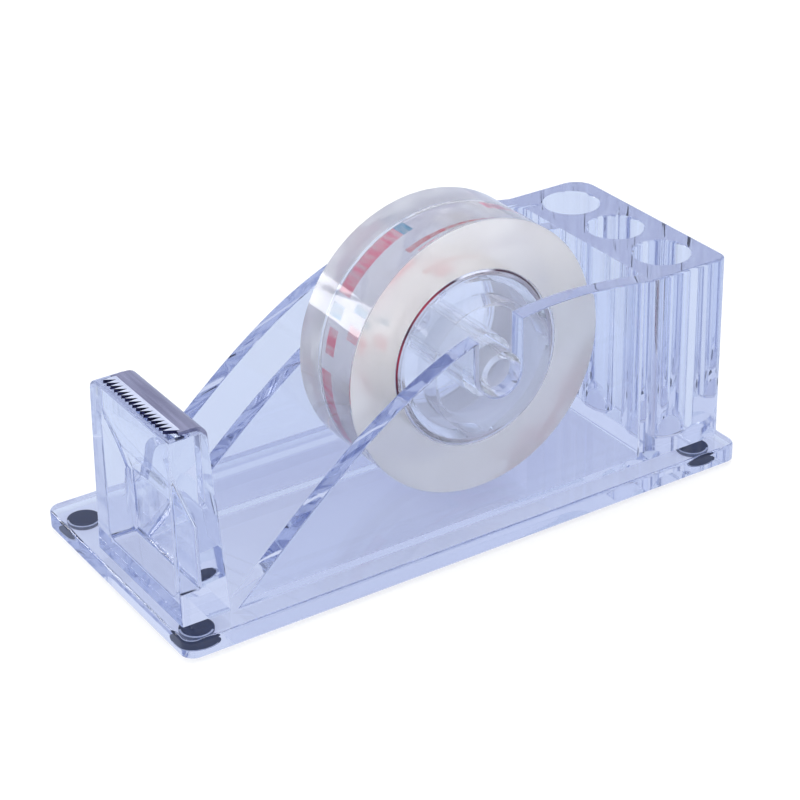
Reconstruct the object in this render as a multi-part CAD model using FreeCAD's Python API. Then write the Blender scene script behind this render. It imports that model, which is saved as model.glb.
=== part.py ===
"""Clear desk tape dispenser with a three-hole pen block and an open side tray.

Units are millimetres and +Z is up.  The origin is on the table, under the middle of
the base plate.  +X runs from the cutter post to the pen block, and -Y is the side of
the tape bay.
"""
import FreeCAD, Part
import math
import os

V = FreeCAD.Vector

# ---- base plate and feet -------------------------------------------------------
plate_length = 131.0
plate_width = 60.0
plate_thickness = 3.7
plate_corner_radius = 2.8
plate_edge_radius = 0.6
foot_diameter = 6.8
foot_thickness = 1.0
foot_edge_chamfer = 0.3
foot_front_inset = 5.4
foot_rear_inset = 7.2
foot_side_inset = 6.4

# ---- upright walls -------------------------------------------------------------
wall_side_inset = 5.1
wall_thickness = 3.8
tape_bay_width = 27.3
toe_gap = 1.2
toe_angle = 42.0
toe_pull = 38.0
crest_x = 25.6
crest_rise = 1.8
crest_pull_front = 32.0
crest_pull_rear = 5.5
block_joint_pull = 5.8
block_joint_angle = 10.0

# ---- pen block -----------------------------------------------------------------
block_height = 41.1
block_depth = 19.5
block_rear_inset = 0.7
block_far_corner_radius = 5.0
block_near_corner_radius = 2.2
block_top_edge_radius = 0.5
far_root_radius = 4.5
near_root_radius = 1.4
pen_hole_diameter = 11.6
pen_hole_pitch = 15.3
pen_hole_from_rear = 9.8
pen_hole_floor = 1.5
pen_hole_bottom_chamfer = 1.2
pen_hole_lip = 0.4
pen_hole_count = 3

# ---- cutter post ---------------------------------------------------------------
post_front_inset = 2.1
post_foot_depth = 10.3
post_top_depth = 8.0
post_height = 38.6
post_front_draft = 0.3
post_near_inset = 0.4
post_near_draft = 0.9
post_far_draft = 1.9
post_far_top_radius = 3.0
post_rear_top_radius = 1.8
recess_depth = 5.6
recess_sill = 5.3
recess_lintel = 3.4
recess_back_height = 14.0
recess_bend_radius = 3.0
recess_floor_radius = 1.0
recess_side_radius = 1.6
recess_near_bar = 2.1
recess_far_bar = 5.7
slot_width = 1.5
slot_depth = 15.0
slot_end_wall = 1.6
slot_from_recess = 0.3
tooth_relief_depth = 0.9
tooth_relief_front_lip = 0.9

# ---- cutter blade --------------------------------------------------------------
blade_thickness = 0.7
blade_near_margin = 1.6
blade_far_margin = 3.4
blade_lip_length = 4.6
blade_plate_depth = 5.0
tooth_count = 17
tooth_length = 2.4
tooth_lift_angle = 8.0
tooth_end_margin = 0.8

# ---- tape roll, hub and axle ---------------------------------------------------
axle_x = 8.5
axle_height = 31.3
axle_diameter = 9.4
axle_bore = 6.6
axle_end_inset = 0.1
axle_seat_clearance = 0.3
running_clearance = 0.05
hub_end_clearance = 0.6
hub_boss_diameter = 26.8
hub_near_boss_length = 5.0
hub_wall = 1.5
hub_end_disc = 1.8
tape_width = 18.6
core_outer_diameter = 36.2
core_wall = 1.15
core_fit_gap = 0.05
print_band_thickness = 0.2
print_band_width = 17.0
winding_diameter = 57.4

# ---- places worked out from the sizes above --------------------------------------
plate_bottom = foot_thickness
plate_top = plate_bottom + plate_thickness
block_top = plate_top + block_height
post_top = plate_top + post_height

frame_width = plate_width - 2 * wall_side_inset
near_outer = -frame_width / 2
near_inner = near_outer + wall_thickness
partition_near = near_inner + tape_bay_width
partition_far = partition_near + wall_thickness
far_outer = frame_width / 2
far_inner = far_outer - wall_thickness

block_rear = plate_length / 2 - block_rear_inset
block_front = block_rear - block_depth
pen_hole_x = block_rear - pen_hole_from_rear

post_front = -plate_length / 2 + post_front_inset
post_rear = post_front + post_foot_depth
post_front_top = post_front + post_front_draft
post_rear_top = post_front_top + post_top_depth
post_near = near_outer + post_near_inset
post_far = partition_far
post_near_top = post_near + post_near_draft
post_far_top = post_far - post_far_draft
recess_back = post_front + recess_depth
recess_near = post_near + recess_near_bar
recess_far = post_far - recess_far_bar
slot_front = recess_back + slot_from_recess
toe_x = post_rear + toe_gap

axle_z = plate_top + axle_height
axle_radius = axle_diameter / 2
seat_radius = axle_radius + axle_seat_clearance
hub_near = near_inner + hub_end_clearance
hub_far = partition_near - hub_end_clearance
drum_near = hub_near + hub_near_boss_length
drum_far = drum_near + tape_width
core_outer_radius = core_outer_diameter / 2
core_inner_radius = core_outer_radius - core_wall
drum_radius = core_inner_radius - core_fit_gap


def box(x0, x1, y0, y1, z0, z1):
    return Part.makeBox(x1 - x0, y1 - y0, z1 - z0, V(x0, y0, z0))


def edges_where(shape, test):
    """Edges whose every vertex passes the test."""
    return [e for e in shape.Edges if e.Vertexes and all(test(v.Point) for v in e.Vertexes)]


def near_value(a, b):
    return abs(a - b) < 1e-4


def extrude_y(wire, y0, y1):
    """Solid from a closed wire drawn in the plane y = 0."""
    solid = Part.Face(wire).extrude(V(0, y1 - y0, 0))
    solid.translate(V(0, y0, 0))
    return solid


def bezier(points):
    curve = Part.BezierCurve()
    curve.setPoles(points)
    return curve.toShape()


def revolve_about_axle(outline):
    """Ring from (radius, y) points, turned about the axle's line."""
    points = [V(axle_x + radius, y, axle_z) for radius, y in outline]
    face = Part.Face(Part.makePolygon(points + [points[0]]))
    return face.revolve(V(axle_x, 0, axle_z), V(0, 1, 0), 360)


def ring(inner, outer, y0, y1):
    return revolve_about_axle([(inner, y0), (outer, y0), (outer, y1), (inner, y1)])


# ---- base ------------------------------------------------------------------------
def base_plate():
    half_x, half_y = plate_length / 2, plate_width / 2
    plate = box(-half_x, half_x, -half_y, half_y, plate_bottom, plate_top)
    corners = [e for e in plate.Edges if near_value(e.BoundBox.ZLength, plate_thickness)]
    plate = plate.makeFillet(plate_corner_radius, corners)
    rim = edges_where(plate, lambda p: near_value(p.z, plate_top))
    return plate.makeFillet(plate_edge_radius, rim)


def foot(end, side):
    """Stick-on rubber foot.  end is -1 at the cutter, side is -1 at the tape bay."""
    inset = foot_front_inset if end < 0 else foot_rear_inset
    x = end * (plate_length / 2 - inset)
    y = side * (plate_width / 2 - foot_side_inset)
    pad = Part.makeCylinder(foot_diameter / 2, foot_thickness, V(x, y, 0))
    lower = edges_where(pad, lambda p: near_value(p.z, 0))
    return pad.makeChamfer(foot_edge_chamfer, [e for e in lower if e.Closed])


# ---- walls -----------------------------------------------------------------------
def wall_outline():
    """Side view of a wall: a rising curve to the crest, then down to the pen block."""
    toe = V(toe_x, 0, plate_top)
    crest = V(crest_x, 0, block_top + crest_rise)
    joint = V(block_front, 0, block_top)
    rise = math.radians(toe_angle)
    fall = math.radians(block_joint_angle)
    front = bezier([
        toe,
        toe + V(math.cos(rise), 0, math.sin(rise)) * toe_pull,
        crest - V(crest_pull_front, 0, 0),
        crest,
    ])
    rear = bezier([
        crest,
        crest + V(crest_pull_rear, 0, 0),
        joint + V(-math.cos(fall), 0, math.sin(fall)) * block_joint_pull,
        joint,
    ])
    corner = V(block_front, 0, plate_top)
    down = Part.makeLine(joint, corner)
    back = Part.makeLine(corner, toe)
    return Part.Wire([front, rear, down, back])


def axle_slot():
    """Open-topped slot with a round seat, wide enough for the axle to drop in."""
    far = far_outer + 1
    above = block_top + crest_rise + 1
    seat = Part.makeCylinder(seat_radius, 2 * far, V(axle_x, -far, axle_z), V(0, 1, 0))
    way = box(axle_x - seat_radius, axle_x + seat_radius, -far, far, axle_z, above)
    return seat.fuse(way)


def near_side_wall():
    return extrude_y(wall_outline(), near_outer, near_inner).cut(axle_slot())


def partition_wall():
    return extrude_y(wall_outline(), partition_near, partition_far).cut(axle_slot())


def far_side_wall():
    return extrude_y(wall_outline(), far_inner, far_outer)


# ---- pen block -------------------------------------------------------------------
def concave_root(y, side, radius):
    """Quarter-round filler between the block's front face and a wall's inner face."""
    filler = box(
        block_front - radius, block_front,
        min(y, y - side * radius), max(y, y - side * radius),
        plate_top, block_top,
    )
    bite = Part.makeCylinder(
        radius, block_height, V(block_front - radius, y - side * radius, plate_top)
    )
    return filler.cut(bite)


def pen_hole(y):
    """Blind round hole with a bevelled floor."""
    floor = plate_top + pen_hole_floor
    hole = Part.makeCylinder(
        pen_hole_diameter / 2, block_top - floor + 1, V(pen_hole_x, y, floor)
    )
    rim = [e for e in edges_where(hole, lambda p: near_value(p.z, floor)) if e.Closed]
    return hole.makeChamfer(pen_hole_bottom_chamfer, rim)


def pen_block():
    block = box(block_front, block_rear, near_outer, far_outer, plate_top, block_top)

    def rear_corner(y):
        return edges_where(
            block, lambda p: near_value(p.x, block_rear) and near_value(p.y, y)
        )

    near_corner = rear_corner(near_outer)
    far_corner = rear_corner(far_outer)
    block = block.makeFillet(block_near_corner_radius, near_corner)
    far_corner = edges_where(
        block, lambda p: near_value(p.x, block_rear) and near_value(p.y, far_outer)
    )
    block = block.makeFillet(block_far_corner_radius, far_corner)
    roots = [
        concave_root(far_inner, 1, far_root_radius),
        concave_root(near_inner, -1, near_root_radius),
    ]
    block = block.fuse(roots).removeSplitter()
    first = -(pen_hole_count - 1) / 2
    centres = [(first + i) * pen_hole_pitch for i in range(pen_hole_count)]
    block = block.cut([pen_hole(y) for y in centres])

    on_top = [e for e in block.Edges if near_value(e.BoundBox.ZMin, block_top)]
    lips = [e for e in on_top if e.Closed]
    block = block.makeChamfer(pen_hole_lip, lips)

    def outer_rim(edge):
        bounds = edge.BoundBox
        behind = bounds.XMax > block_front + block_top_edge_radius
        beside = bounds.XMin > block_front - block_top_edge_radius
        return near_value(bounds.ZMin, block_top) and behind and beside and not edge.Closed

    rim = [e for e in block.Edges if outer_rim(e)]
    return block.makeFillet(block_top_edge_radius, rim)


# ---- cutter post -----------------------------------------------------------------
def drafted_block(lower, upper):
    """Solid with flat sides between two rectangles, given as four corners each."""
    faces = [Part.Face(Part.makePolygon(c + [c[0]])) for c in (lower[::-1], upper)]
    for i in range(4):
        j = (i + 1) % 4
        side = [lower[i], lower[j], upper[j], upper[i]]
        faces.append(Part.Face(Part.makePolygon(side + [side[0]])))
    return Part.makeSolid(Part.makeShell(faces))


def post_body():
    foot_corners = [
        V(post_front, post_near, plate_top), V(post_rear, post_near, plate_top),
        V(post_rear, post_far, plate_top), V(post_front, post_far, plate_top),
    ]
    top_corners = [
        V(post_front_top, post_near_top, post_top), V(post_rear_top, post_near_top, post_top),
        V(post_rear_top, post_far_top, post_top), V(post_front_top, post_far_top, post_top),
    ]
    body = drafted_block(foot_corners, top_corners)

    def top_edge(axis, value):
        return edges_where(
            body, lambda p: near_value(p.z, post_top) and near_value(getattr(p, axis), value)
        )

    body = body.makeFillet(post_far_top_radius, top_edge("y", post_far_top))
    return body.makeFillet(post_rear_top_radius, top_edge("x", post_rear_top))


def post_recess():
    """Hollow in the post's front.  Its ceiling leans in from the lintel to the back wall."""
    floor = plate_top + recess_sill
    ceiling = post_top - recess_lintel
    shoulder = floor + recess_back_height
    lean = (ceiling - shoulder) / recess_depth
    front = post_front - 1
    points = [
        V(front, 0, floor), V(recess_back, 0, floor),
        V(recess_back, 0, shoulder), V(front, 0, ceiling + lean),
    ]
    hollow = extrude_y(Part.makePolygon(points + [points[0]]), recess_near, recess_far)

    def back_edge(z):
        return edges_where(hollow, lambda p: near_value(p.x, recess_back) and near_value(p.z, z))

    hollow = hollow.makeFillet(recess_bend_radius, back_edge(shoulder))
    hollow = hollow.makeFillet(recess_floor_radius, back_edge(floor))

    def beside(edge):
        bounds = edge.BoundBox
        flat = near_value(bounds.YMin, bounds.YMax)
        return flat and bounds.XMax > post_front and bounds.ZMax > floor + 1e-3

    return hollow.makeFillet(recess_side_radius, [e for e in hollow.Edges if beside(e)])


def blade_slot():
    return box(
        slot_front, slot_front + slot_width,
        post_near_top + slot_end_wall, post_far_top - slot_end_wall,
        post_top - slot_depth, post_top + 1,
    )


def blade_span():
    return post_near_top + blade_near_margin, post_far_top - blade_far_margin


def tooth_root_x():
    return post_rear_top - blade_plate_depth


def tooth_relief():
    """Shallow step under the teeth, so that tape can be pressed on to them."""
    near, far = blade_span()
    return box(
        post_front_top + tooth_relief_front_lip, tooth_root_x(), near, far,
        post_top - tooth_relief_depth, post_top + 1,
    )


def cutter_post():
    return post_body().cut([post_recess(), blade_slot(), tooth_relief()])


# ---- cutter blade ----------------------------------------------------------------
def post_section(grow):
    """Side view of the post's top and rear faces, moved outwards by grow."""
    drop = post_top - plate_top
    lean = post_rear - post_rear_top
    slope = math.hypot(drop, lean)
    top = post_top + grow
    rear_at_top = post_rear_top + grow * slope / drop - grow * lean / drop
    points = [
        V(post_front, 0, plate_top), V(post_rear + grow * slope / drop, 0, plate_top),
        V(rear_at_top, 0, top), V(post_front, 0, top),
    ]
    near, far = blade_span()
    body = extrude_y(Part.makePolygon(points + [points[0]]), near, far)
    bend = [
        e for e in body.Edges
        if near_value(e.BoundBox.ZMin, top) and near_value(e.BoundBox.XMin, rear_at_top)
    ]
    return body.makeFillet(post_rear_top_radius + grow, bend)


def blade_teeth():
    """Row of pointed teeth, lifted a little from the root."""
    near, far = blade_span()
    near += tooth_end_margin
    far -= tooth_end_margin
    pitch = (far - near) / tooth_count
    root = tooth_root_x()
    points = [V(root + blade_thickness, near, post_top)]
    for i in range(tooth_count):
        points.append(V(root, near + i * pitch, post_top))
        points.append(V(root - tooth_length, near + (i + 0.5) * pitch, post_top))
    points.append(V(root, far, post_top))
    points.append(V(root + blade_thickness, far, post_top))
    comb = Part.Face(Part.makePolygon(points + [points[0]])).extrude(V(0, 0, blade_thickness))
    comb.rotate(V(root + blade_thickness, 0, post_top), V(0, 1, 0), tooth_lift_angle)
    return comb


def cutter_blade():
    near, far = blade_span()
    shell = post_section(blade_thickness).cut(post_section(0))
    kept = box(tooth_root_x(), post_rear + 2, near, far, post_top - blade_lip_length, post_top + 2)
    return shell.common(kept).fuse(blade_teeth()).removeSplitter()


# ---- tape roll, hub and axle -----------------------------------------------------
def axle_tube():
    return ring(axle_bore / 2, axle_radius, near_outer + axle_end_inset, partition_far - axle_end_inset)


def hub_wheel():
    """Cup-shaped wheel: closed disc and boss at the near end, drum in the core."""
    bore = axle_radius + running_clearance
    sleeve = bore + hub_wall
    boss = hub_boss_diameter / 2
    outline = [
        (bore, hub_near), (boss, hub_near), (boss, drum_near), (drum_radius, drum_near),
        (drum_radius, drum_far), (drum_radius - hub_wall, drum_far),
        (drum_radius - hub_wall, drum_near + hub_wall),
        (boss - hub_wall, drum_near + hub_wall), (boss - hub_wall, hub_near + hub_end_disc),
        (sleeve, hub_near + hub_end_disc), (sleeve, hub_far), (bore, hub_far),
    ]
    return revolve_about_axle(outline)


def tape_core():
    return ring(core_inner_radius, core_outer_radius, drum_near, drum_far)


def core_print_band():
    """Thin printed liner wound on the core under the tape."""
    margin = (tape_width - print_band_width) / 2
    outer = core_outer_radius + print_band_thickness
    return ring(core_outer_radius, outer, drum_near + margin, drum_far - margin)


def tape_winding():
    inner = core_outer_radius + print_band_thickness
    return ring(inner, winding_diameter / 2, drum_near, drum_far)


def main():
    nodes = {
        "base_plate": base_plate(),
        "near_side_wall": near_side_wall(),
        "partition_wall": partition_wall(),
        "far_side_wall": far_side_wall(),
        "pen_block": pen_block(),
        "cutter_post": cutter_post(),
        "cutter_blade": cutter_blade(),
        "axle_tube": axle_tube(),
        "hub_wheel": hub_wheel(),
        "tape_core": tape_core(),
        "core_print_band": core_print_band(),
        "tape_winding": tape_winding(),
    }
    for end_name, end in (("front", -1), ("rear", 1)):
        for side_name, side in (("near", -1), ("far", 1)):
            nodes["foot_%s_%s" % (end_name, side_name)] = foot(end, side)
    os.makedirs("parts", exist_ok=True)
    for name, shape in nodes.items():
        solid = shape.Solids[0] if len(shape.Solids) == 1 else shape
        print(name, len(shape.Solids), shape.isValid(), round(shape.Volume, 1))
        solid.exportStep("parts/%s.step" % name)


main()
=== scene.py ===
"""Looks of the clear desk tape dispenser: one fused clear frame, a printed core seen
through the tape, a steel cutter and rubber feet, on a plain white floor.

Lengths are in metres, with MM for millimetres.  Angles are in degrees until they are used.
"""
import math

import bmesh
import bpy
from mathutils import Matrix, Vector


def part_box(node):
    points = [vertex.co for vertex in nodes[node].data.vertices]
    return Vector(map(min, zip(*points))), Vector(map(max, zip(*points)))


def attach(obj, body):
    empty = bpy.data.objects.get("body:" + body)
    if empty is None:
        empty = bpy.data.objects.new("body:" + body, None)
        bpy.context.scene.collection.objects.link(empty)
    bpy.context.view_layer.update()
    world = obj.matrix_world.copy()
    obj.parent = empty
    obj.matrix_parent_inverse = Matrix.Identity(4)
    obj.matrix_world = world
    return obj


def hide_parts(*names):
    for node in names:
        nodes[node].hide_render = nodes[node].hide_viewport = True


MM = 0.001

# meshes
RING_STEPS = 144  # corners round a turned piece
SAME_PLACE = 2e-6  # corners nearer than this are welded
FLAT_ENOUGH = 0.2  # faces that meet at less than this are joined
EASED_EDGE = 0.3 * MM
EASED_CREASE = 50  # only edges sharper than this are eased
FRAME_SMOOTHING = 28
RING_SMOOTHING = 40
TOOTH_ROOT = 5.0 * MM  # the teeth lie farther than this from the blade's rear end
SHADED_BELOW = 0.6  # faces of the teeth that point up less than this get painted shade
HIGHLIGHTED_BELOW = 0.998  # those below this, bent up a little, get a painted highlight
BAND_SINK = 0.05 * MM  # the band goes this far into its neighbours, so that no gap shows
WINDING_BEVEL = 0.15 * MM
CORE_BEVEL = 0.3 * MM
FRAME_NODES = [
    "base_plate", "near_side_wall", "partition_wall", "far_side_wall", "pen_block", "cutter_post",
]

# colours
PINK = (0.76, 0.09, 0.19)
PALE_PINK = (0.80, 0.36, 0.42)
RED = (0.58, 0.02, 0.05)
BLUE = (0.02, 0.25, 0.46)
PRINTED_BLOCKS = [  # start and end in half turns, near and far in mm, ink
    (0.584, 0.82, 4.6, 8.4, PINK),
    (0.55, 0.584, 4.6, 8.4, BLUE),
    (0.85, 0.89, 4.5, 8.4, BLUE),
    (0.92, 0.998, 4.0, 7.0, PINK),
    (0.88, 0.925, -4.0, 1.0, PALE_PINK),
    (0.82, 0.845, -2.4, 1.6, BLUE),
    (0.53, 0.60, -6.0, -2.0, PALE_PINK),
    (0.05, 0.30, 4.6, 8.0, PINK),
    (0.12, 0.22, -5.0, -1.5, BLUE),
]
WEDGE = (0.33, 0.62)  # a red wedge: start and end in half turns
WEDGE_CENTRE = (-1.2, 0.9)  # mm from the roll's middle at its start, and the change to its end
WEDGE_HALF_WIDTH = (0.08, 0.8)  # the same for half its width
BARE_FILM = 0.85  # how clear the film is without ink
INKED_FILM = 0.35
CLEAR_RIM = (0.72, 0.74, 0.86)
GREY_RIM = (0.40, 0.38, 0.50)
SHADED_RIM = (0.03, 0.005, 0.02)
SHADED_RED_RIM = (0.32, 0.01, 0.04)
# painted shade: a dark line in the groove at the core's near rim, dark red where the red print
# lies along it
CORE_RIM_PRINT_AND_SHADE = [  # turn about the axle, colour
    (0.0, CLEAR_RIM), (0.06, CLEAR_RIM), (0.08, SHADED_RIM), (0.20, SHADED_RIM), (0.22, CLEAR_RIM),
    (0.27, CLEAR_RIM), (0.29, SHADED_RIM), (0.36, SHADED_RED_RIM), (0.41, SHADED_RIM), (0.46, SHADED_RED_RIM),
    (0.53, SHADED_RIM), (0.55, CLEAR_RIM), (0.85, CLEAR_RIM), (0.95, GREY_RIM),
]

# floor and room
FLOOR_SIZE = 4.0
FLOOR_COLOR = (0.80, 0.80, 0.82)
FLOOR_SEEN = ((0.55, 0.55, 0.62), (0.45, 0.45, 0.38))  # its own glow, and what the lamps light
FLOOR_IN_GLASS = ((0.388, 0.412, 0.615), (0.228, 0.262, 0.23))
LIT_FLOOR_ENDS = (0.3, 0.7)  # between these distances the floor turns into plain white
ROOM_LOW = (0.50, 0.53, 0.64)
ROOM_HIGH = (0.72, 0.74, 0.80)
ROOM_IN_GLASS = (0.745, 0.80, 0.97)
WHITE = (1.0, 1.0, 1.0)

# camera
CAMERA_ANGLES = (-32.356, 28.586, -1.317)  # azimuth, elevation, roll
CAMERA_TARGET = (1.79, 1.33, 20.82)  # mm
CAMERA_DISTANCE = 479.96  # mm
CAMERA_LENS = 106.29
SENSOR_WIDTH = 36.0

MANY_BOUNCES = 160
SHADOW_BOUNCES = 16

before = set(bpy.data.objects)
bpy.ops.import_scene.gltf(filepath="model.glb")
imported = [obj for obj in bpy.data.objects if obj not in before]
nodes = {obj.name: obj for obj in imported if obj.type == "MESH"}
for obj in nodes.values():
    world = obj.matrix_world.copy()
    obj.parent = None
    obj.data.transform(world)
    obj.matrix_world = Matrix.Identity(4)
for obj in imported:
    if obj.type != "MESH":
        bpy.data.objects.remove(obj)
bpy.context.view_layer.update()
scene = bpy.context.scene


# ---- node helpers ------------------------------------------------------------------------
def grey(level):
    return (level, level, level)


def new_material(name):
    material = bpy.data.materials.new(name)
    material.use_nodes = True
    tree = material.node_tree
    bsdf = tree.nodes["Principled BSDF"]
    return material, tree, bsdf


def put(bsdf, **values):
    """Sets sockets by name, with underscores for spaces."""
    for key, value in values.items():
        bsdf.inputs[key.replace("_", " ")].default_value = value


def add(tree, kind, **inputs):
    """A new node with its sockets set by name."""
    node = tree.nodes.new(kind)
    for key, value in inputs.items():
        node.inputs[key.replace("_", " ")].default_value = value
    return node


def math_node(tree, operation, a, b=None):
    """The result of one sum.  a and b are numbers or sockets."""
    node = tree.nodes.new("ShaderNodeMath")
    node.operation = operation
    for i, value in enumerate((a, b)):
        if value is None:
            continue
        if isinstance(value, (int, float)):
            node.inputs[i].default_value = value
        else:
            tree.links.new(value, node.inputs[i])
    return node.outputs[0]


def object_position(tree):
    return tree.nodes.new("ShaderNodeTexCoord").outputs["Object"]


def noise(tree, scale, detail=2.0, stretch=(1, 1, 1)):
    mapping = add(tree, "ShaderNodeMapping", Scale=stretch)
    texture = add(tree, "ShaderNodeTexNoise", Scale=scale, Detail=detail)
    tree.links.new(object_position(tree), mapping.inputs["Vector"])
    tree.links.new(mapping.outputs[0], texture.inputs["Vector"])
    return texture.outputs["Fac"]


def ramp(tree, factor, stops):
    """Turns a factor into a colour, by stops of (position, colour)."""
    node = tree.nodes.new("ShaderNodeValToRGB")
    node.color_ramp.interpolation = "LINEAR"
    elements = node.color_ramp.elements
    while len(elements) < len(stops):
        elements.new(1.0)
    for element, (position, color) in zip(elements, stops):
        element.position = position
        element.color = (*color, 1)
    tree.links.new(factor, node.inputs[0])
    return node.outputs[0]


def tripling(tree, factor, level, start, end):
    """A level that grows threefold in patches."""
    return ramp(tree, factor, [(start, grey(level)), (end, grey(level * 3))])


def bump(tree, bsdf, height, strength, distance):
    node = add(tree, "ShaderNodeBump", Strength=strength, Distance=distance)
    tree.links.new(height, node.inputs["Height"])
    tree.links.new(node.outputs[0], bsdf.inputs["Normal"])


# ---- materials ---------------------------------------------------------------------------
def clear_plastic(name, tint, absorb, density, roughness, ior=1.49, clear=1.0, gloss=0.0):
    """Tinted at its skin and, more with the length of the way, inside."""
    material, tree, bsdf = new_material(name)
    put(bsdf, Transmission_Weight=clear, Coat_Weight=gloss, IOR=ior, Base_Color=(*tint, 1))
    smudge = tripling(tree, noise(tree, 90, 3), roughness, 0.35, 0.75)
    tree.links.new(smudge, bsdf.inputs["Roughness"])
    bump(tree, bsdf, noise(tree, 45, 1), 0.02, 0.0002)
    volume = add(tree, "ShaderNodeVolumeAbsorption", Color=(*absorb, 1), Density=density)
    tree.links.new(volume.outputs[0], tree.nodes["Material Output"].inputs["Volume"])
    return material


def tape_film(name, light, dark, clear, roughness, ior, ripple):
    """Fine lines from turn to turn of the tape, with waves on top where ripple is set."""
    material, tree, bsdf = new_material(name)
    layers = noise(tree, 500, 2, (1, 1, 0.2))
    color = ramp(tree, noise(tree, 35, 2), [(0.3, dark), (0.7, light)])
    tree.links.new(color, bsdf.inputs["Base Color"])
    put(bsdf, Transmission_Weight=clear, IOR=ior)
    wear = tripling(tree, noise(tree, 180, 3), roughness, 0.4, 0.7)
    tree.links.new(wear, bsdf.inputs["Roughness"])
    waves = math_node(tree, "MULTIPLY", noise(tree, 130, 0, (1, 0.6, 1)), ripple)
    bump(tree, bsdf, math_node(tree, "ADD", layers, waves), 0.04, 0.0001)
    return material


def window(tree, value, start, end):
    """1 where value is between start and end."""
    mask = math_node(tree, "COMPARE", value, (start + end) / 2)
    mask.node.inputs[2].default_value = (end - start) / 2
    return mask


def blend(tree, mask, below, above):
    """Two colours mixed by a mask.  Each is a tuple or a socket."""
    mix = tree.nodes.new("ShaderNodeMix")
    mix.data_type = "RGBA"
    tree.links.new(mask, mix.inputs["Factor"])
    for socket, color in ((mix.inputs[6], below), (mix.inputs[7], above)):
        if isinstance(color, tuple):
            socket.default_value = (*color, 1)
        else:
            tree.links.new(color, socket)
    return mix.outputs[2]


def turn_about_axle(tree, position, laps):
    """Goes from 0 to 1, as many times in a full turn as laps says."""
    dx = math_node(tree, "SUBTRACT", position.outputs["X"], axle.x)
    dz = math_node(tree, "SUBTRACT", position.outputs["Z"], axle.z)
    angle = math_node(tree, "ARCTAN2", dz, dx)
    turn = math_node(tree, "MULTIPLY", angle, laps / (2 * math.pi))
    return math_node(tree, "FRACT", math_node(tree, "ADD", turn, laps))


def split_position(tree):
    split = tree.nodes.new("ShaderNodeSeparateXYZ")
    tree.links.new(object_position(tree), split.inputs[0])
    return split


def straight_line(tree, along, start, rise):
    return math_node(tree, "ADD", math_node(tree, "MULTIPLY", along, rise), start)


def print_film():
    """Plain colour blocks round the core, the same on both halves of the turn."""
    material, tree, bsdf = new_material("printed_core_film")
    position = split_position(tree)
    turn = turn_about_axle(tree, position, 2.0)
    across = math_node(tree, "SUBTRACT", position.outputs["Y"], axle.y)
    across = math_node(tree, "MULTIPLY", across, 1 / MM)
    film = [(0.3, (0.90, 0.87, 0.88)), (0.7, (0.97, 0.95, 0.96))]
    color = ramp(tree, noise(tree, 200, 3), film)
    worn = [(0.35, grey(0.55)), (0.6, grey(1.0))]
    streaks = ramp(tree, noise(tree, 900, 3, (1, 0.15, 1)), worn)
    # the ink lies on the outside only
    inside = tree.nodes.new("ShaderNodeNewGeometry").outputs["Backfacing"]
    streaks = math_node(tree, "MULTIPLY", streaks, math_node(tree, "SUBTRACT", 1.0, inside))
    inked = 0.0
    for start, end, near, far, ink in PRINTED_BLOCKS:
        mask = window(tree, turn, start, end)
        mask = math_node(tree, "MULTIPLY", mask, window(tree, across, near, far))
        mask = math_node(tree, "MULTIPLY", mask, streaks)
        color = blend(tree, mask, color, ink)
        inked = math_node(tree, "MAXIMUM", inked, mask)
    start, end = WEDGE
    along = math_node(tree, "DIVIDE", math_node(tree, "SUBTRACT", turn, start), end - start)
    centre = straight_line(tree, along, *WEDGE_CENTRE)
    half = straight_line(tree, along, *WEDGE_HALF_WIDTH)
    off = math_node(tree, "ABSOLUTE", math_node(tree, "SUBTRACT", across, centre))
    mask = math_node(tree, "LESS_THAN", off, half)
    mask = math_node(tree, "MULTIPLY", mask, window(tree, turn, start, end))
    mask = math_node(tree, "MULTIPLY", mask, streaks)
    color = blend(tree, mask, color, RED)
    inked = math_node(tree, "MAXIMUM", inked, mask)
    tree.links.new(color, bsdf.inputs["Base Color"])
    clear = ramp(tree, inked, [(0.0, grey(BARE_FILM)), (1.0, grey(INKED_FILM))])
    tree.links.new(clear, bsdf.inputs["Transmission Weight"])
    put(bsdf, Roughness=0.2, IOR=1.2)
    return material


def shaded_core_rim():
    """A dark line along parts of the core's rim: the edge of the print, and painted shade in the
    groove by the tape.
    """
    material, tree, bsdf = new_material("core_rim_print_and_painted_shade")
    turn = turn_about_axle(tree, split_position(tree), 1.0)
    tree.links.new(ramp(tree, turn, CORE_RIM_PRINT_AND_SHADE), bsdf.inputs["Base Color"])
    put(bsdf, Roughness=0.4)
    return material


def steel(name, dark, light, roughness):
    material, tree, bsdf = new_material(name)
    grain = noise(tree, 700, 2, (1, 0.08, 1))
    color = ramp(tree, grain, [(0.3, dark), (0.7, light)])
    tree.links.new(color, bsdf.inputs["Base Color"])
    rough = ramp(tree, grain, [(0.3, grey(roughness)), (0.7, grey(roughness * 1.4))])
    tree.links.new(rough, bsdf.inputs["Roughness"])
    put(bsdf, Metallic=1.0)
    bump(tree, bsdf, grain, 0.04, 0.0001)
    return material


def rubber_like(name, dark, light, roughness):
    material, tree, bsdf = new_material(name)
    grain = noise(tree, 1500, 4)
    color = ramp(tree, grain, [(0.3, dark), (0.7, light)])
    tree.links.new(color, bsdf.inputs["Base Color"])
    put(bsdf, Roughness=roughness, Specular_IOR_Level=0.15)
    bump(tree, bsdf, grain, 0.2, 0.0001)
    return material


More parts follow.
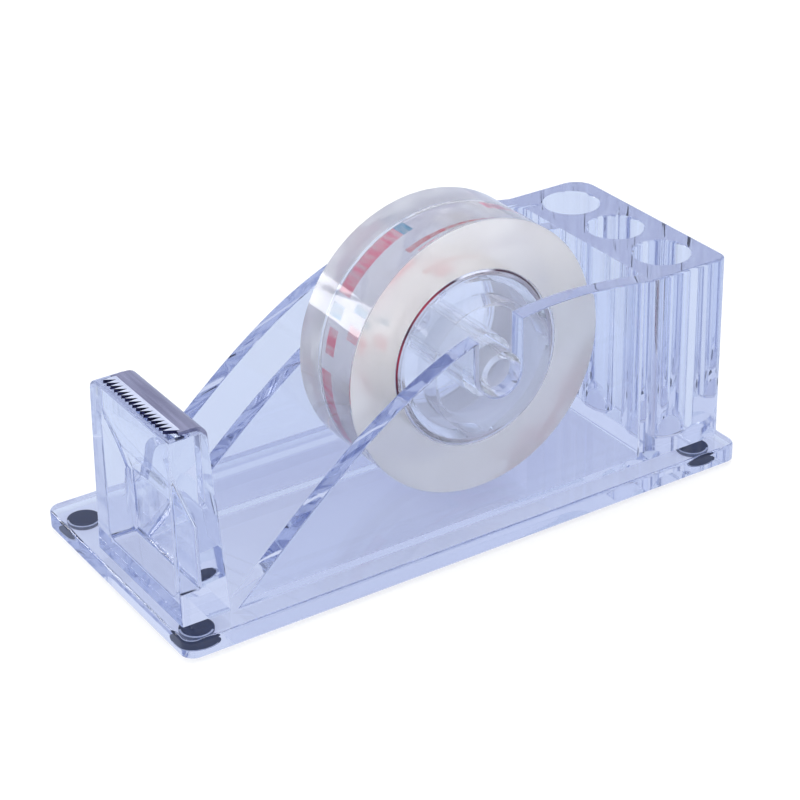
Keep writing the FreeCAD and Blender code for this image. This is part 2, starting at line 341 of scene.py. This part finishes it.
# ---- meshes ------------------------------------------------------------------------------
def ease(bm, keep_x):
    """Rounds the sharp edges, but not those that meet the plate or the plane x = keep_x."""
    touching = 0.01 * MM
    edges = []
    for edge in bm.edges:
        if len(edge.link_faces) != 2 or edge.calc_face_angle() < math.radians(EASED_CREASE):
            continue
        ends = [v.co for v in edge.verts]
        if all(p.z < plate_top + touching for p in ends):
            continue
        if keep_x is not None and all(abs(p.x - keep_x) < touching for p in ends):
            continue
        edges.append(edge)
    bmesh.ops.bevel(bm, geom=edges, offset=EASED_EDGE, segments=2, profile=0.5, affect="EDGES")


def weld(bm):
    bmesh.ops.remove_doubles(bm, verts=bm.verts, dist=SAME_PLACE)


def clean_mesh(node):
    """A closed copy of a CAD node with its flat faces joined up and its long edges eased."""
    bm = bmesh.new()
    bm.from_mesh(nodes[node].data)
    weld(bm)
    flat = math.radians(FLAT_ENOUGH)
    bmesh.ops.dissolve_limit(bm, angle_limit=flat, verts=bm.verts, edges=bm.edges)
    if node in EASED:
        ease(bm, EASED[node])
    mesh = bpy.data.meshes.new(node + "_clean")
    bm.to_mesh(mesh)
    bm.free()
    return mesh


def fuse(name, members):
    """One closed skin round several CAD nodes that meet face to face."""
    whole = bpy.data.objects.new(name, clean_mesh(members[0]))
    scene.collection.objects.link(whole)
    for member in members[1:]:
        other = bpy.data.objects.new(member + "_tool", clean_mesh(member))
        scene.collection.objects.link(other)
        union = whole.modifiers.new("union", "BOOLEAN")
        union.operation = "UNION"
        union.solver = "EXACT"
        union.object = other
        bpy.context.view_layer.update()
        graph = bpy.context.evaluated_depsgraph_get()
        mesh = bpy.data.meshes.new_from_object(whole.evaluated_get(graph))
        whole.modifiers.remove(union)
        whole.data = mesh
        bpy.data.objects.remove(other)
    bm = bmesh.new()
    bm.from_mesh(whole.data)
    weld(bm)
    bm.to_mesh(whole.data)
    bm.free()
    return whole


def smooth(mesh, angle):
    mesh.shade_smooth()
    mesh.set_sharp_from_angle(angle=math.radians(angle))


def paint(obj, material, side_material=None):
    """One material all over, or another on the two flat sides across the axle."""
    obj.data.materials.clear()
    obj.data.materials.append(material)
    if side_material:
        obj.data.materials.append(side_material)
        for face in obj.data.polygons:
            on_side = abs(face.normal.y) > 0.9
            face.material_index = int(on_side)


def ring_sizes(node):
    """Inner and outer radius and both ends of a round node about the axle."""
    points = [v.co for v in nodes[node].data.vertices]
    radii = [math.hypot(p.x - axle.x, p.z - axle.z) for p in points]
    return min(radii), max(radii), min(p.y for p in points), max(p.y for p in points)


def lathe(name, profile, place):
    """Turns a line of (radius, height) points.  place(radius, angle, height) gives a corner.

    A line that comes back to its first height is a ring; any other gets a lid at each end.
    """
    bm = bmesh.new()
    rows = []
    for i in range(RING_STEPS):
        turn = 2 * math.pi * i / RING_STEPS
        rows.append([bm.verts.new(place(r, turn, h)) for r, h in profile])
    closed = profile[0][1] == profile[-1][1]
    for i in range(RING_STEPS):
        this, following = rows[i], rows[(i + 1) % RING_STEPS]
        for j in range(len(profile) - (0 if closed else 1)):
            k = (j + 1) % len(profile)
            bm.faces.new((this[j], this[k], following[k], following[j]))
    if not closed:
        for end in (0, -1):
            bm.faces.new([row[end] for row in rows])
    bmesh.ops.recalc_face_normals(bm, faces=bm.faces)
    mesh = bpy.data.meshes.new(name)
    bm.to_mesh(mesh)
    bm.free()
    smooth(mesh, RING_SMOOTHING)
    piece = bpy.data.objects.new(name, mesh)
    scene.collection.objects.link(piece)
    return piece


def stand_in_for(piece, node, body):
    """The piece moves with the body and takes the node's place."""
    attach(piece, body)
    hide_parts(node)


def dress_ring(node, grow, bevel, material, side_material=None):
    """A finer ring in the node's place.  grow adds to its outer and inner radius."""
    inner, outer, near, far = ring_sizes(node)
    outer += grow[0]
    inner += grow[1]
    profile = [
        (inner + bevel, near), (outer - bevel, near), (outer, near + bevel), (outer, far - bevel),
        (outer - bevel, far), (inner + bevel, far), (inner, far - bevel), (inner, near + bevel),
        (inner + bevel, near),
    ]
    if not bevel:
        profile = [(inner, near), (outer, near), (outer, far), (inner, far), (inner, near)]

    def place(radius, turn, y):
        return axle.x + radius * math.cos(turn), y, axle.z + radius * math.sin(turn)

    ring = lathe(node + "_ring", profile, place)
    paint(ring, material, side_material)
    stand_in_for(ring, node, "roll")
    return ring


def dress_foot(node, material, highlight_material):
    """A rubber foot with rounded edges, pressed a little into the plate above it.

    The near front part of its upper bevel has a pale material, a painted highlight.
    """
    low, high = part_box(node)
    middle = (low + high) / 2
    radius = (high.x - low.x) / 2
    height = high.z - low.z
    press_in = 0.06 * MM
    profile = [  # from the floor up
        (radius - 0.7 * MM, 0.0), (radius - 0.25 * MM, 0.12 * MM), (radius, 0.45 * MM),
        (radius, height), (radius - 0.4 * MM, height + press_in),
    ]

    def place(r, turn, z):
        return middle.x + r * math.cos(turn), middle.y + r * math.sin(turn), low.z + z

    foot = lathe(node + "_pad", profile, place)
    paint(foot, material)
    foot.data.materials.append(highlight_material)
    for face in foot.data.polygons:
        away = face.center - middle
        on_rim = face.center.z > low.z + height and len(face.vertices) == 4
        near_front = away.x + 1.5 * away.y < -0.3 * radius
        face.material_index = int(on_rim and near_front)
    stand_in_for(foot, node, "frame")


def outward(face):
    """The part of the face's normal that points away from the axle."""
    away = Vector((face.center.x - axle.x, 0, face.center.z - axle.z)).normalized()
    return face.normal.dot(away)


# ---- clear frame -------------------------------------------------------------------------
winding_low, winding_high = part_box("tape_winding")
axle = (winding_low + winding_high) / 2
plate_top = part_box("base_plate")[1].z
block_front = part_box("far_side_wall")[1].x
blade_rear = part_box("cutter_blade")[1].x
EASED = {  # node, and the plane where its edges stay sharp
    "near_side_wall": block_front,
    "partition_wall": block_front,
    "far_side_wall": block_front,
    "cutter_post": None,
}
clear_frame = fuse("clear_frame", FRAME_NODES)
smooth(clear_frame.data, FRAME_SMOOTHING)
flat_first = clear_frame.modifiers.new("flat_first", "WEIGHTED_NORMAL")
flat_first.keep_sharp = True
flat_first.weight = 100
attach(clear_frame, "frame")
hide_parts(*FRAME_NODES)
paint(clear_frame, clear_plastic(
    "clear_frame_plastic", tint=(0.94, 0.955, 0.995), absorb=(0.1, 0.22, 0.6), density=5.0,
    roughness=0.005))

# ---- axle and roll -----------------------------------------------------------------------
hub_plastic = clear_plastic(
    "clear_hub_plastic", tint=(0.97, 0.98, 1.0), absorb=(0.2, 0.4, 0.8), density=1.0,
    roughness=0.03, ior=1.08, clear=0.9, gloss=0.3)
paint(nodes["hub_wheel"], hub_plastic)
paint(nodes["axle_tube"], hub_plastic)
core_plastic = clear_plastic(
    "clear_core_plastic", tint=(1.0, 0.99, 1.0), absorb=(0.6, 0.5, 0.6), density=1.0,
    roughness=0.04, ior=1.08, clear=0.95)
roll_outside = tape_film(
    "clear_tape_outside", light=(1.0, 0.98, 0.95), dark=(0.97, 0.94, 0.91), clear=0.92,
    roughness=0.03, ior=1.45, ripple=12.0)
roll_side = tape_film(
    "clear_tape_side", light=(1.0, 0.965, 0.91), dark=(0.97, 0.93, 0.86), clear=0.70,
    roughness=0.35, ior=1.15, ripple=0.0)
print_face = print_film()
dress_ring("tape_winding", (0, 0), WINDING_BEVEL, roll_outside, roll_side)
core = dress_ring("tape_core", (0, 0), CORE_BEVEL, core_plastic)
core.data.materials.append(shaded_core_rim())
band_grows = (BAND_SINK, -BAND_SINK)
band = dress_ring("core_print_band", band_grows, 0.0, print_face)
band.data.materials.append(core_plastic)
# the near bevel, in the groove by the tape, takes the rim's painted shade and print colours
for face in core.data.polygons:
    near_bevel = 0.5 < outward(face) < 0.9 and face.normal.y < 0
    face.material_index = int(near_bevel)
for face in band.data.polygons:
    inner_wall = outward(face) < -0.5
    face.material_index = int(inner_wall)

# ---- cutter blade and feet ---------------------------------------------------------------
blade = nodes["cutter_blade"]
paint(blade, steel("blade_steel", (0.26, 0.25, 0.34), (0.40, 0.39, 0.50), 0.2))
blade.data.materials.append(steel("blade_painted_shade", (0.02, 0.02, 0.06), (0.05, 0.05, 0.12), 0.3))
blade.data.materials.append(steel("blade_tooth_painted_highlight", (0.72, 0.74, 0.84), (0.88, 0.90, 0.98), 0.25))
# the steep sides of the teeth are painted dark, painted shade between them
for face in blade.data.polygons:
    # the teeth's tops, bent up a little, get a light steel, a painted highlight
    if face.center.x < blade_rear - TOOTH_ROOT:
        in_painted_shade = face.normal.z < SHADED_BELOW
        in_painted_highlight = SHADED_BELOW < face.normal.z < HIGHLIGHTED_BELOW
        face.material_index = 1 if in_painted_shade else 2 if in_painted_highlight else 0
rubber = rubber_like("foot_rubber", (0.006, 0.018, 0.065), (0.014, 0.034, 0.11), 0.45)
# a pale copy of the rubber: a painted highlight on the near front of each foot's top rim
foot_painted_highlight = rubber_like("foot_rim_painted_highlight", (0.60, 0.65, 0.78), (0.80, 0.84, 0.92), 0.3)
for end in ("front", "rear"):
    for side in ("near", "far"):
        dress_foot("foot_%s_%s" % (end, side), rubber, foot_painted_highlight)


# ---- floor, light and camera -------------------------------------------------------------
def seen_directly(tree):
    return tree.nodes.new("ShaderNodeLightPath").outputs["Is Camera Ray"]


def seen_in_glass(tree):
    """1 for mirror and see-through rays."""
    path = tree.nodes.new("ShaderNodeLightPath")
    mirrored = path.outputs["Is Glossy Ray"]
    seen_through = path.outputs["Is Transmission Ray"]
    return math_node(tree, "MINIMUM", math_node(tree, "ADD", mirrored, seen_through), 1.0)


def far_away(tree):
    """0 round the part, 1 where the lamps no longer reach."""
    distance = tree.nodes.new("ShaderNodeVectorMath")
    distance.operation = "LENGTH"
    tree.links.new(object_position(tree), distance.inputs[0])
    start, end = LIT_FLOOR_ENDS
    return ramp(tree, distance.outputs["Value"], [(start, grey(0.0)), (end, grey(1.0))])


def mix_shaders(tree, mask, below, above):
    mix = tree.nodes.new("ShaderNodeMixShader")
    tree.links.new(mask, mix.inputs[0])
    tree.links.new(below, mix.inputs[1])
    tree.links.new(above, mix.inputs[2])
    return mix.outputs[0]


def make_floor():
    bpy.ops.mesh.primitive_plane_add(size=FLOOR_SIZE, location=(0, 0, 0))
    floor = bpy.context.object
    floor.name = "floor"
    material = bpy.data.materials.new("floor_white")
    material.use_nodes = True
    tree = material.node_tree
    tree.nodes.clear()
    out = tree.nodes.new("ShaderNodeOutputMaterial")
    shader = add(tree, "ShaderNodeBsdfDiffuse", Color=(*FLOOR_COLOR, 1)).outputs[0]
    # each backdrop is part glow and part lit floor, which keeps the shadow
    for mask, (glow, lit) in (
        (seen_directly(tree), FLOOR_SEEN), (seen_in_glass(tree), FLOOR_IN_GLASS),
    ):
        both = tree.nodes.new("ShaderNodeAddShader")
        emission = add(tree, "ShaderNodeEmission", Color=(*glow, 1), Strength=1.0)
        diffuse = add(tree, "ShaderNodeBsdfDiffuse", Color=(*lit, 1))
        tree.links.new(emission.outputs[0], both.inputs[0])
        tree.links.new(diffuse.outputs[0], both.inputs[1])
        shader = mix_shaders(tree, mask, shader, both.outputs[0])
    # far off, the floor seen directly glows white by itself
    white = add(tree, "ShaderNodeEmission", Color=(*WHITE, 1), Strength=1.0)
    far_off = math_node(tree, "MULTIPLY", far_away(tree), seen_directly(tree))
    tree.links.new(mix_shaders(tree, far_off, shader, white.outputs[0]), out.inputs[0])
    floor.data.materials.append(material)


def make_world():
    world = bpy.data.worlds.new("studio")
    scene.world = world
    world.use_nodes = True
    tree = world.node_tree
    background = tree.nodes["Background"]
    direction = tree.nodes.new("ShaderNodeTexCoord").outputs["Generated"]
    split = tree.nodes.new("ShaderNodeSeparateXYZ")
    tree.links.new(direction, split.inputs[0])
    color = ramp(tree, split.outputs["Z"], [(0.0, ROOM_LOW), (0.8, ROOM_HIGH)])
    color = blend(tree, seen_in_glass(tree), color, ROOM_IN_GLASS)
    color = blend(tree, seen_directly(tree), color, WHITE)
    tree.links.new(color, background.inputs["Color"])
    background.inputs["Strength"].default_value = 1.0


def area_light(name, place, target, size, power, size_y=None):
    """A lamp aimed at a target.  It is square, or size by size_y."""
    data = bpy.data.lights.new(name, "AREA")
    data.energy = power
    data.shape = "RECTANGLE" if size_y else "SQUARE"
    data.size = size
    if size_y:
        data.size_y = size_y
    lamp = bpy.data.objects.new(name, data)
    scene.collection.objects.link(lamp)
    lamp.location = place
    lamp.visible_transmission = False
    lamp.rotation_euler = (Vector(target) - Vector(place)).to_track_quat("-Z", "Y").to_euler()
    return lamp


def shine_through_plastic(lamp):
    """The lamp passes the clear plastic and lights what lies behind it, as real light does.

    It leaves the clear frame itself alone.
    """
    see_through = (clear_frame, core, nodes["hub_wheel"], nodes["axle_tube"])
    meshes = [obj for obj in scene.objects if obj.type == "MESH"]
    blockers = bpy.data.collections.new("blockers_" + lamp.name)
    for obj in meshes:
        if obj not in see_through:
            blockers.objects.link(obj)
    receivers = bpy.data.collections.new("lit_by_" + lamp.name)
    for obj in meshes:
        if obj != clear_frame:
            receivers.objects.link(obj)
    lamp.light_linking.blocker_collection = blockers
    lamp.light_linking.receiver_collection = receivers


def make_camera():
    azimuth, elevation, roll = (math.radians(a) for a in CAMERA_ANGLES)
    back = Vector((
        math.sin(azimuth) * math.cos(elevation),
        -math.cos(azimuth) * math.cos(elevation),
        math.sin(elevation),
    ))
    right = (-back).cross(Vector((0, 0, 1))).normalized()
    up = right.cross(-back)
    side = right * math.cos(roll) + up * math.sin(roll)
    top = up * math.cos(roll) - right * math.sin(roll)
    data = bpy.data.cameras.new("camera")
    data.lens = CAMERA_LENS
    data.sensor_width = SENSOR_WIDTH
    data.clip_start = 0.01
    camera = bpy.data.objects.new("camera", data)
    scene.collection.objects.link(camera)
    rotation = Matrix((side, top, back)).transposed()
    place = Vector(CAMERA_TARGET) * MM + back * CAMERA_DISTANCE * MM
    camera.matrix_world = Matrix.Translation(place) @ rotation.to_4x4()
    scene.camera = camera


def let_light_through():
    """Enough bounces for light that runs along inside the clear walls."""
    cycles = scene.cycles
    cycles.max_bounces = MANY_BOUNCES
    cycles.glossy_bounces = MANY_BOUNCES
    cycles.transmission_bounces = MANY_BOUNCES
    cycles.transparent_max_bounces = SHADOW_BOUNCES


make_floor()
make_world()
let_light_through()
key = area_light("key", (-0.45, -0.25, 0.55), (0, 0, 0.02), size=0.35, power=1.6)
shine_through_plastic(key)
area_light("top", (0.1, 0.15, 0.8), (0, 0, 0.02), size=0.5, power=1.6)
# two narrow panes make the highlight of a window on the tape
for name, place in (("left_pane", (-0.383, 0.442, 0.16)), ("right_pane", (-0.338, 0.477, 0.16))):
    area_light(name, place, (0, 0, 0.03), size=0.045, power=0.2, size_y=0.18)
front = area_light("front", (0.28, -0.5, 0.2), (0, 0, 0.03), size=0.3, power=1.7)
front.visible_glossy = False  # its mirror image would hide the top of the roll from behind
shine_through_plastic(front)
make_camera()
scene.view_settings.view_transform = "Standard"
